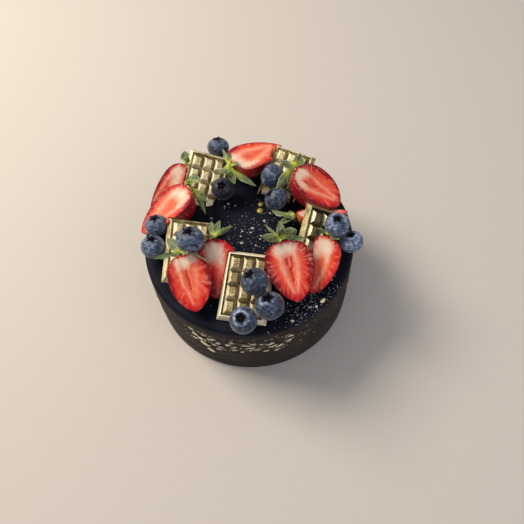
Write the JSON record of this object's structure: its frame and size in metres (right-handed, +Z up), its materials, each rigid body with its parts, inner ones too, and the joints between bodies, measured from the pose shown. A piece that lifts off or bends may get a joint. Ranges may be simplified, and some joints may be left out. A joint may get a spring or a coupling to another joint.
{
  "type": "berry bento cake",
  "caption": "Small round layer cake with a near-black coat, topped with halved strawberries, whole blueberries and small gilded chocolate bars.",
  "frame": {"origin": "centre of the flat underside of the cake", "axes": "+Z up; -Y towards the side with the gold dashes, where the picture was taken from; +X to its right"},
  "size_m": [0.1233, 0.1299, 0.0791],
  "materials": {
    "coat": "satin near-black buttercream coat with a little gold paint",
    "gilt": "chocolate brushed with pale gold lustre dust",
    "fruit": "moist cut strawberry and its seeded skin",
    "leaf": "fresh green strawberry calyx",
    "bloom": "blueberry skin with pale waxy bloom"
  },
  "bodies": {
    "root": {"cake": "coat", "gold_bar_back_left": "gilt", "gold_bar_back_right": "gilt", "gold_bar_left": "gilt", "gold_bar_front": "gilt", "gold_bar_right": "gilt", "strawberry_1": "fruit", "strawberry_2": "fruit", "strawberry_3": "fruit", "strawberry_4": "fruit", "strawberry_5": "fruit", "strawberry_6": "fruit", "strawberry_7": "fruit", "strawberry_8": "fruit", "strawberry_9": "fruit", "calyx_1": "leaf", "calyx_2": "leaf", "calyx_3": "leaf", "calyx_4": "leaf", "calyx_5": "leaf", "calyx_6": "leaf", "calyx_7": "leaf", "calyx_8": "leaf", "calyx_9": "leaf", "blueberry_1": "bloom", "blueberry_2": "bloom", "blueberry_3": "bloom", "blueberry_4": "bloom", "blueberry_5": "bloom", "blueberry_6": "bloom", "blueberry_7": "bloom", "blueberry_8": "bloom", "blueberry_9": "bloom", "blueberry_10": "bloom", "blueberry_11": "bloom", "blueberry_12": "bloom"}
  },
  "joints": []
}
